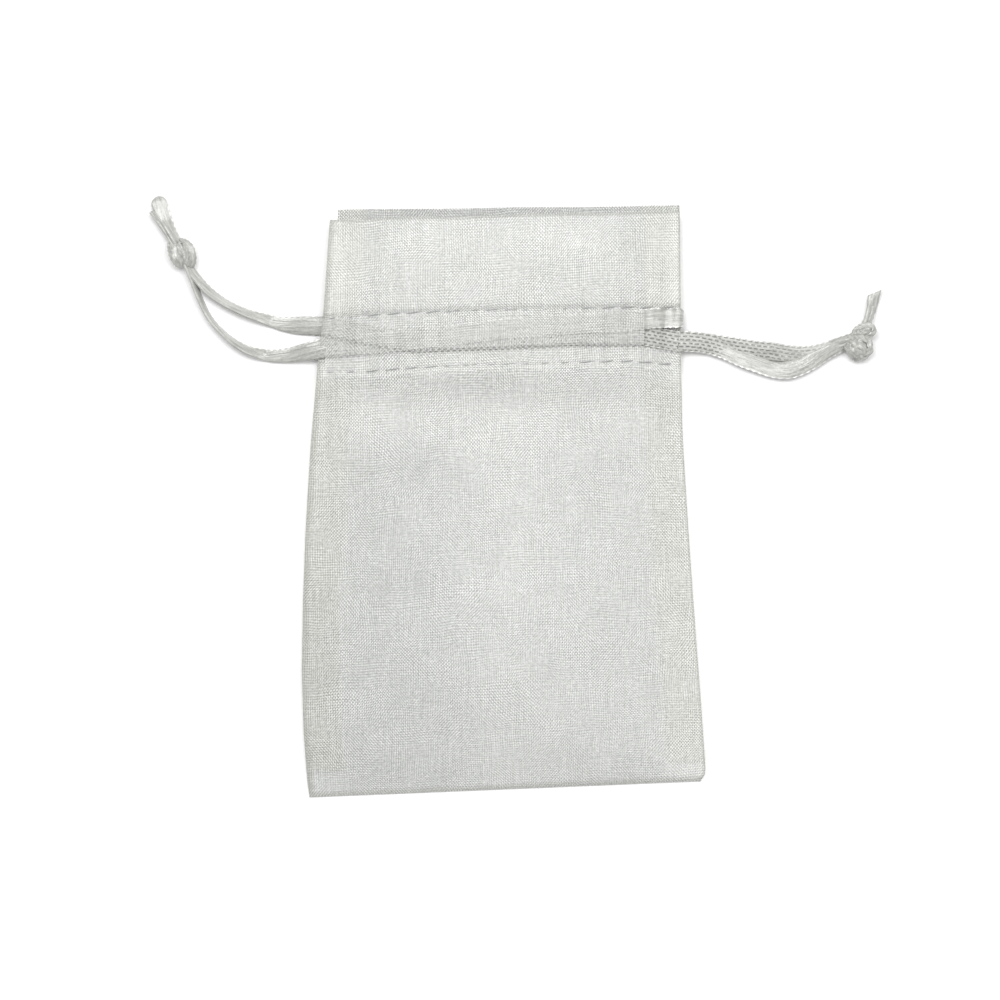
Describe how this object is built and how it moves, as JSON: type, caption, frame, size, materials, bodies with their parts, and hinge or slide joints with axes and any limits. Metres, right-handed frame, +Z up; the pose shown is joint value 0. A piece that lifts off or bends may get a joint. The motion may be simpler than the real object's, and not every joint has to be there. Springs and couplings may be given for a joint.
{
  "type": "drawstring gift pouch",
  "caption": "Small flat pouch of sheer woven cloth with a stitched casing below its mouth and a knotted satin drawstring out of each side.",
  "frame": {"origin": "middle of the pouch's footprint (without its free ribbon ends), on the surface it lies on", "axes": "+Y towards the mouth, +X to the right as the front is seen, +Z up out of the front"},
  "size_m": [0.118, 0.0966, 0.0079],
  "materials": {
    "organza": "sheer plain-woven white organza, fine crisp threads with a soft sheen",
    "satin": "white woven satin ribbon, glossy floats on its face and a small brick weave on its back",
    "thread": "fine grey-white sewing thread"
  },
  "bodies": {
    "pouch": {"back_panel": "organza", "front_panel": "organza", "bottom_fold": "organza", "back_casing": "organza", "front_casing": "organza", "back_casing_facing": "organza", "front_casing_facing": "organza", "back_header": "organza", "front_header": "organza", "left_seam_allowance": "organza", "right_seam_allowance": "organza", "front_upper_stitches": "thread", "front_lower_stitches": "thread", "back_upper_stitches": "thread", "back_lower_stitches": "thread", "left_seam_stitches": "thread", "right_seam_stitches": "thread", "left_ribbon_front_run": "satin", "left_ribbon_back_run": "satin", "right_ribbon_front_run": "satin", "right_ribbon_back_run": "satin"},
    "left_mouth_edge": {"right_ribbon_turn": "satin"},
    "right_mouth_edge": {"left_ribbon_turn": "satin"},
    "left_drawstring": {"left_ribbon_front_end": "satin", "left_ribbon_back_end": "satin", "left_knot": "satin"},
    "right_drawstring": {"right_ribbon_front_end": "satin", "right_ribbon_back_end": "satin", "right_knot": "satin"}
  },
  "joints": [
    {"name": "left_edge_gather", "type": "slide", "parent": "pouch", "child": "left_mouth_edge", "axis": [1, 0, 0], "range_m": [0, 0.021], "deforming": ["right_ribbon_turn"]},
    {"name": "right_edge_gather", "type": "slide", "parent": "pouch", "child": "right_mouth_edge", "axis": [-1, 0, 0], "range_m": [0, 0.021], "deforming": ["left_ribbon_turn"]},
    {"name": "left_drawstring_pull", "type": "slide", "parent": "left_mouth_edge", "child": "left_drawstring", "axis": [-1, 0, 0], "range_m": [0, 0.042], "deforming": ["left_ribbon_front_run", "left_ribbon_back_run", "left_ribbon_front_end", "left_ribbon_back_end"]},
    {"name": "right_drawstring_pull", "type": "slide", "parent": "right_mouth_edge", "child": "right_drawstring", "axis": [1, 0, 0], "range_m": [0, 0.042], "deforming": ["right_ribbon_front_run", "right_ribbon_back_run", "right_ribbon_front_end", "right_ribbon_back_end"]}
  ],
  "couplings": [
    {"joint": "right_drawstring_pull", "follows": "left_drawstring_pull", "ratio": 1},
    {"joint": "left_edge_gather", "follows": "left_drawstring_pull", "ratio": 0.5},
    {"joint": "right_edge_gather", "follows": "left_drawstring_pull", "ratio": 0.5}
  ]
}
